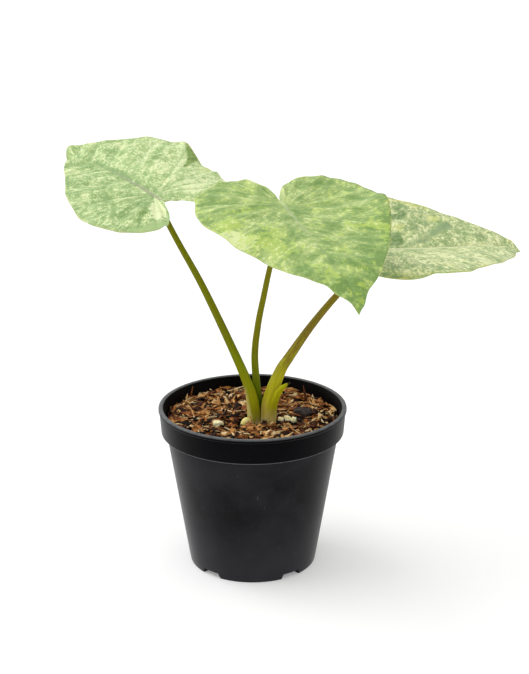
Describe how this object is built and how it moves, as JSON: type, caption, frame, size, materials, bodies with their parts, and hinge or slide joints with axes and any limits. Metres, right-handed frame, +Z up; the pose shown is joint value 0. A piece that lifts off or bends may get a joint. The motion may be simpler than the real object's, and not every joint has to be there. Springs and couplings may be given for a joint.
{
  "type": "potted variegated night-scented lily",
  "caption": "Potted aroid house plant: large heart-shaped variegated leaves on long stalks, in bark mix in a plain black nursery pot.",
  "frame": {"origin": "centre of the pot's underside, on the flat pad that it stands on", "axes": "+Z up along the pot's axis, -Y towards the front, where the middle leaf's tip points, +X to the right leaf"},
  "size_m": [0.3012, 0.2083, 0.2631],
  "materials": {
    "pot_plastic": "matt moulded black, scuffed along the rim",
    "bark_mix": "rough bark chips and coir",
    "leaf": "satin, green with cream and yellow-green variegation",
    "stalk": "satin olive green, paler at the foot",
    "root": "pale cream, satin",
    "dry_sheath": "brown, papery",
    "bark": "dark rough bark",
    "pale_lump": "pale, matt, crumbly"
  },
  "bodies": {
    "root": {"pot": "pot_plastic", "potting_mix": "bark_mix", "corm": "root", "petiole_right": "stalk", "petiole_left": "stalk", "petiole_middle": "stalk", "young_sheath": "stalk", "dry_sheath": "dry_sheath", "blade_left": "leaf", "blade_middle": "leaf", "blade_right": "leaf", "bark_chip": "bark", "pale_lump_1": "pale_lump", "pale_lump_2": "pale_lump", "pale_lump_3": "pale_lump", "pale_lump_4": "pale_lump"}
  },
  "joints": []
}
